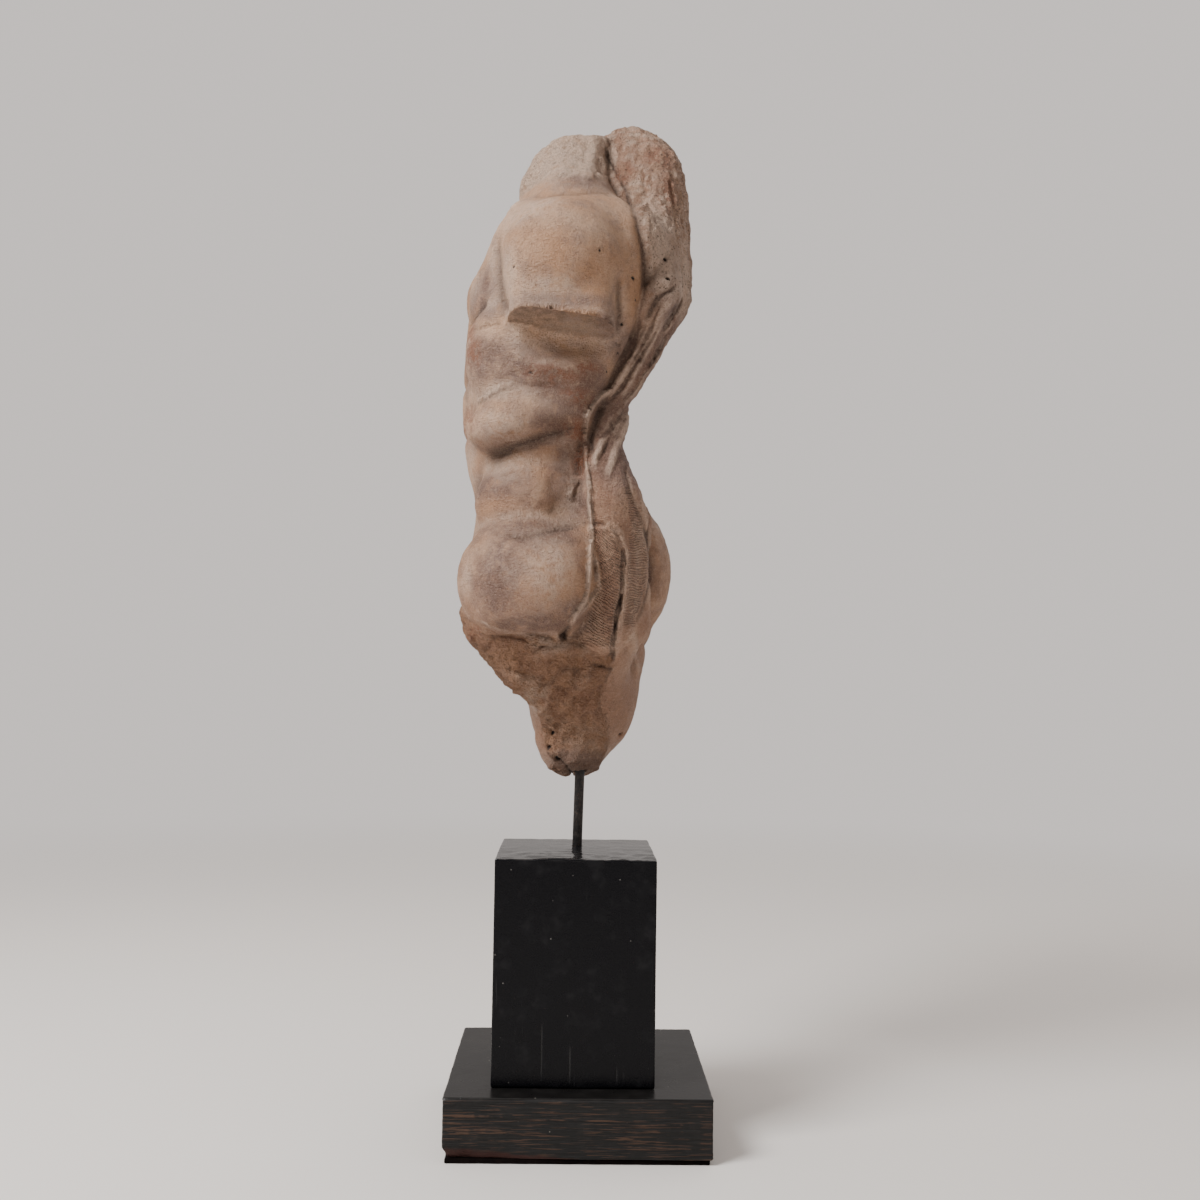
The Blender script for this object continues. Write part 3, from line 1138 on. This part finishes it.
def lacquerFinish():
    finish = Finish("blackLacquer")
    dusty = finish.noise(70, 5, 0.65)
    scratched = finish.noise(300, 2, 0.6, finish.stretched((1, 1, 0.045)))
    fine = finish.noise(1100, 2)
    where = finish.noise(22, 2)
    scratch = scratched.between(0.64, 0.74) * where.between(0.5, 0.66)
    fleck = (1 - finish.spots(120).between(0.04, 0.09)) * finish.noise(40, 1).between(0.52, 0.6)
    colour = finish.layered(
        blockLook["paint"], blockLook, (dusty.between(0.5, 0.8) * 0.2, "dust"), (scratch * 0.5, "dust"),
        (fleck * 0.8, "fleck"), (finish.attribute("cracked") * scratched.between(0.3, 0.5), "crack"))
    rough = 0.17 + dusty * 0.2 + scratch * 0.3
    below = finish.bump(dusty, 0.0006, 0.35)
    below = finish.bump(fine + scratch * 2, 0.00025, 0.35, below)
    glossy = finish.along(2).between(blockHigh.z - 0.003, blockHigh.z - 0.001)     # the top is wet-looking
    return finish.finished(Base_Color=colour, Roughness=rough, Normal=below, Specular_IOR_Level=0.14,
                           Coat_Weight=glossy * 0.9, Coat_Roughness=0.12)


def makeBlock():
    cracks = blockLook["cracks"].values()
    beside = [blockMiddle.x + (x + step) * mm for x, *_ in cracks for step in (-1, -0.45, 0, 0.45, 1)]
    points, faces = wornBox(blockLow, blockHigh, blockLook, 11, beside)
    onFront = points[:, 1] < blockLow.y + 0.5 * mm
    cracked = np.zeros(len(points))
    for x, top, bottom, depth in cracks:
        across = np.clip(1 - np.abs(points[:, 0] - blockMiddle.x - x * mm) / (0.8 * mm), 0, 1)
        up = (points[:, 2] - blockLow.z) / mm
        crack = across * onFront * np.clip(np.minimum(top - up, up - bottom) / 8, 0, 1)
        points[:, 1] += depth * mm * crack
        cracked = np.maximum(cracked, crack)
    middle = np.array(blockMiddle)
    inward = np.sign(middle - points) * (np.abs(points - middle) > (np.array(blockHigh) - middle) * 0.97)
    points = points + inward * (blockLook["warp"] * patches(points, 0.05, 12, 2))[:, None]
    onTop = np.clip((points[:, 2] - blockHigh.z + 0.004) / 0.003, 0, 1)
    wrinkles = ridged(patches(points * (1, 1, 0), 0.015, 13, 3))
    front = np.clip(1 - (points[:, 1] - blockLow.y) / 0.085, 0.15, 1)
    points[:, 2] -= onTop * front * blockLook["dentDepth"] * np.clip((wrinkles - 0.55) / 0.4, 0, 1)
    height, reach = blockLook["collar"]
    rodAtTop = rodFoot + rodRun * rodSize["inBlock"]
    away = np.hypot(points[:, 0] - rodAtTop.x, points[:, 1] - rodAtTop.y)
    points[:, 2] += onTop * height * np.clip(1 - away / reach, 0, 1) ** 2
    mesh = meshOf("lacqueredBlock", points, faces)
    addValues(mesh, "cracked", cracked)
    block = addPiece("lacqueredBlock", mesh, "pedestal_block", lacquerFinish())
    cutHole(block)
    return block


print("block worn:", len(makeBlock().data.vertices), "points")

slabLook = {
    "edge": 1.4 * mm,
    "spacing": 2.2 * mm,
    "wear": 0.7,
    "chipHeight": 8.5 * mm,       # the long chip at the lower front left corner
    "chipDepth": 5 * mm,
    "chipLength": 108 * mm,
    "chipReturn": 34 * mm,
    "splinters": 1.1 * mm,
    "grainDepth": 0.35 * mm,
    "grainFrom": 94 * mm,         # from the slab's middle
    "paint": (0.0085, 0.0078, 0.0075),
    "dust": (0.035, 0.031, 0.029),
    "fleck": (0.3, 0.28, 0.24),
    "wood": (0.12, 0.062, 0.037),
    "bareWood": (0.045, 0.017, 0.014),
}


def slabFinish():
    finish = Finish("openGrainBlack")
    onSide = 1 - finish.along(2).between(slabHigh.z - 0.003, slabHigh.z - 0.001)
    grain = finish.noise(95, 4, 0.65, finish.stretched((0.16, 0.16, 4.2)), 0.4)
    fine = finish.noise(240, 3, 0.6, finish.stretched((0.12, 0.12, 4)))
    broken = finish.noise(55, 3, 0.6, finish.stretched((1, 1, 0.6)))
    line = grain.between(0.595, 0.62) * broken.between(0.40, 0.52) * onSide
    hair = fine.between(0.57, 0.61) * broken.between(0.30, 0.42) * onSide
    dusty = finish.noise(60, 5, 0.65)
    flecks = (1 - finish.spots(150).between(0.04, 0.08)) * finish.noise(50, 1).between(0.58, 0.64)
    colour = finish.layered(
        slabLook["paint"], slabLook, (dusty.between(0.45, 0.8) * 0.35, "dust"), (line * 0.5, "wood"),
        (hair * 0.42, "wood"), (flecks * 0.7, "fleck"), (finish.attribute("chipped"), "bareWood"))
    rough = 0.2 + dusty * 0.2 + onSide * 0.4
    scratched = finish.noise(30, 3, 0.7, distortion=1.6)
    mark = scratched.between(0.497, 0.503) * finish.noise(18, 1).between(0.55, 0.65)
    below = finish.bump(onSide * (grain + 0.5 * fine), 0.0022, 0.8)
    below = finish.bump(dusty + mark, 0.0004, 0.35, below)
    return finish.finished(Base_Color=colour, Roughness=rough, Normal=below, Specular_IOR_Level=0.3)


def makeSlab():
    points, faces = wornBox(slabLow, slabHigh, slabLook, 14)
    x, y, z = points.T
    fromLeft, fromFront, fromBottom = x - slabLow.x, y - slabLow.y, z - slabLow.z
    ragged = 0.75 + 0.5 * patches(points, 0.009, 15, 3)
    nearFront = fromFront < slabLook["chipDepth"] * 1.3
    nearLeft = fromLeft < slabLook["chipDepth"] * 1.3
    alongFront = np.clip(1 - fromLeft / slabLook["chipLength"], 0, 1) * ragged * nearFront
    alongLeft = np.clip(1 - fromFront / slabLook["chipReturn"], 0, 1) * ragged * nearLeft
    rise = fromBottom / slabLook["chipHeight"]
    frontChip = slabLook["chipDepth"] * np.clip(alongFront - rise, 0, 1) * (alongFront > 0)
    leftChip = slabLook["chipDepth"] * np.clip(alongLeft - rise, 0, 1) * (alongLeft > 0)
    y += np.where(fromFront < frontChip, frontChip - fromFront, 0)
    x += np.where(fromLeft < leftChip, leftChip - fromLeft, 0)
    chipped = np.clip(np.maximum(frontChip, leftChip) / (0.6 * mm), 0, 1)
    onSide = (fromBottom > 2 * mm) & (fromBottom < slabHigh.z - slabLow.z - 2 * mm)
    grain = slabLook["grainDepth"] * ridged(patches(points * (0.12, 0.12, 3), 0.008, 16, 3)) * onSide
    middle = np.array((slabLow + slabHigh) / 2)
    for axis in (0, 1):
        outer = np.abs(points[:, axis] - middle[axis]) > slabLook["grainFrom"]
        points[:, axis] += np.sign(middle[axis] - points[:, axis]) * outer * grain
    y += slabLook["splinters"] * chipped * patches(points * (0.3, 1, 1), 0.004, 17, 2)
    mesh = meshOf("woodenSlab", points, faces)
    addValues(mesh, "chipped", chipped)
    return addPiece("woodenSlab", mesh, "base_slab", slabFinish())


print("slab worn:", len(makeSlab().data.vertices), "points")

feltLook = {
    "edge": 0.9 * mm,
    "spacing": 2.5 * mm,
    "wear": 0.5,
    "nap": 0.45 * mm,
    "napFrom": 90 * mm,      # from the felt's middle
    "red": (0.003, 0.0015, 0.0015),
    "matted": (0.006, 0.003, 0.0025),
    "fibres": (0.016, 0.008, 0.007),
}


def feltFinish():
    finish = Finish("redFelt")
    fibres = finish.noise(1600, 4, 0.7)
    matted = finish.noise(130, 4, 0.6)
    colour = finish.layered(
        feltLook["red"], feltLook, (matted.between(0.35, 0.65), "matted"),
        (fibres.between(0.5, 0.75) * 0.3, "fibres"))
    return finish.finished(Base_Color=colour, Roughness=0.95, Specular_IOR_Level=0.1,
                           Normal=finish.bump(fibres + matted, 0.0006, 0.7))


def makeFelt():
    points, faces = wornBox(feltLow, feltHigh, feltLook, 18)
    middle = np.array((feltLow + feltHigh) / 2)
    for axis in (0, 1):
        outer = np.abs(points[:, axis] - middle[axis]) > feltLook["napFrom"]
        inward = np.sign(middle[axis] - points[:, axis]) * outer
        points[:, axis] += inward * feltLook["nap"] * patches(points, 0.003, 19, 2)
    mesh = meshOf("feltSheet", points, faces)
    return addPiece("feltSheet", mesh, "felt_underlay", feltFinish())


makeFelt()
print("felt laid")


studio = {
    "floorSize": 12,
    "floorColour": (0.80, 0.76, 0.72),
    "floorShade": (0.72, 0.68, 0.64),
    "fades": (0.8, 2.6),             # the floor runs into the wall between these distances
    "wall": (0.85, 0.79, 0.757),     # what the camera sees beyond the floor
    "wallLight": 0.5,                # strength of the light from the pale side, behind the object
    "roomLight": 0.13,               # from the darker room on the camera's side
    "skyLight": 0.9,                 # and from above
    "keyPlace": (-1.25, -0.95, 1.75),
    "keyPower": 62,
    "keySize": 0.8,
    "fillPlace": (1.5, -0.9, 0.9),
    "fillPower": 2,
    "fillSize": 1.4,
    "rimPlace": (0.9, 1.4, 1.6),
    "rimPower": 4,
    "rimSize": 1.2,
}


def makeFloor():
    half = studio["floorSize"] / 2
    corners = [(-half, -half, 0), (half, -half, 0), (half, half, 0), (-half, half, 0)]
    mesh = meshOf("floor", corners, [(0, 1, 2, 3)])
    finish = Finish("paleFloor")
    faint = finish.noise(3, 3)
    colour = finish.mix(faint * 0.12, studio["floorColour"], studio["floorShade"])
    away = finish.add("ShaderNodeVectorMath", {"operation": "LENGTH"}, {0: finish.place}, 1)
    far = away.between(*studio["fades"])
    mesh.materials.append(finish.finished(
        Base_Color=finish.mix(far, colour, (0, 0, 0)), Roughness=0.85, Specular_IOR_Level=0,
        Emission_Color=finish.mix(far, (0, 0, 0), studio["wall"]), Emission_Strength=1))
    floor = bpy.data.objects.new("floor", mesh)
    bpy.context.scene.collection.objects.link(floor)


def addLight(name):
    light = bpy.data.lights.new(name, "AREA")
    light.energy, light.size = studio[name + "Power"], studio[name + "Size"]
    lamp = bpy.data.objects.new(name, light)
    lamp.location = studio[name + "Place"]
    aim = Vector((0, 0, 0.5)) - lamp.location
    lamp.rotation_euler = aim.to_track_quat("-Z", "Y").to_euler()
    bpy.context.scene.collection.objects.link(lamp)


makeFloor()
for name in ("key", "fill", "rim"):
    addLight(name)


# A pale wall to look at, and soft light that is stronger from behind than from the camera's side
def addSurroundings():
    world = bpy.data.worlds.new("studioWorld")
    bpy.context.scene.world = world
    sky = Finish(world, "Background", "Generated")
    behind = sky.add("ShaderNodeMapRange", {}, {
        "Value": sky.along(1), "From Min": -0.5, "From Max": 0.6,
        "To Min": studio["roomLight"], "To Max": studio["wallLight"]})
    above = sky.add("ShaderNodeMapRange", {}, {
        "Value": sky.along(2), "From Min": 0.35, "To Max": studio["skyLight"]})
    seen = sky.add("ShaderNodeLightPath", {}, {}, "Is Camera Ray")
    strength = sky.add("ShaderNodeMix", {}, {0: seen, 2: behind + above, 3: 1})
    sky.finished(Color=studio["wall"], Strength=strength)


addSurroundings()

viewpoint = {
    "place": (-0.00834, -1.08774, 0.35171),
    "up": 3.707,         # degrees above level
    "right": 1.112,      # degrees towards +X
    "roll": 0.801,
    "lens": 39.42,       # on a sensor 36 mm wide
}


def addCamera():
    camera = bpy.data.cameras.new("camera")
    camera.lens, camera.sensor_width = viewpoint["lens"], 36
    camera.clip_start, camera.clip_end = 0.05, 50
    pitch, yaw, roll = (math.radians(viewpoint[name]) for name in ("up", "right", "roll"))
    turn = Matrix.Rotation(-yaw, 3, "Z") @ Matrix.Rotation(math.pi / 2 + pitch, 3, "X")
    turn = turn @ Matrix.Rotation(roll, 3, "Z")
    holder = bpy.data.objects.new("camera", camera)
    holder.matrix_world = Matrix.Translation(viewpoint["place"]) @ turn.to_4x4()
    bpy.context.scene.collection.objects.link(holder)
    bpy.context.scene.camera = holder


addCamera()
print("studio lit")

bpy.context.view_layer.update()
